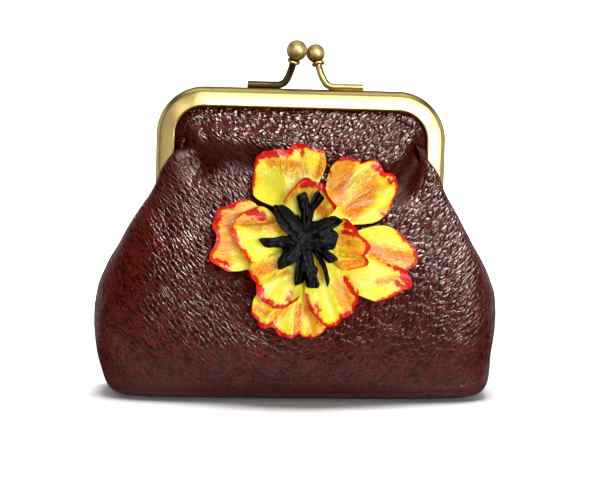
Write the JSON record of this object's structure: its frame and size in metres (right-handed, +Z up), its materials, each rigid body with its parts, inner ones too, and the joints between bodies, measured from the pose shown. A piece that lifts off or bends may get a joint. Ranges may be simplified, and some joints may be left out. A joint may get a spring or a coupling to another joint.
{
  "type": "kiss lock coin purse",
  "caption": "Small pebbled leather coin purse in a hinged brass kiss lock frame, with a boxed base and a layered leather flower on its front; holds coins and small things.",
  "frame": {"origin": "middle of the flat base that the purse stands on", "axes": "+X to the right along the frame as seen from the front, +Y to the back, +Z up from the base to the clasp"},
  "size_m": [0.1184, 0.0578, 0.104],
  "materials": {
    "pouch_leather": "pebbled, two-tone dark brown and red, satin",
    "brass": "antique, satin",
    "petal_leather": "painted yellow and orange with red edges, glossy",
    "stamen_leather": "black, matte"
  },
  "bodies": {
    "root": {"pouch": "pouch_leather", "frame_front": "brass", "frame_back": "brass", "hinge_rivet_left": "brass", "hinge_rivet_right": "brass", "petal_outer_top": "petal_leather", "petal_outer_upper_right": "petal_leather", "petal_outer_right": "petal_leather", "petal_outer_bottom": "petal_leather", "petal_outer_left": "petal_leather", "petal_inner_top": "petal_leather", "petal_inner_right": "petal_leather", "petal_inner_lower_right": "petal_leather", "petal_inner_lower_left": "petal_leather", "petal_inner_left": "petal_leather", "stamens": "stamen_leather"}
  },
  "joints": []
}
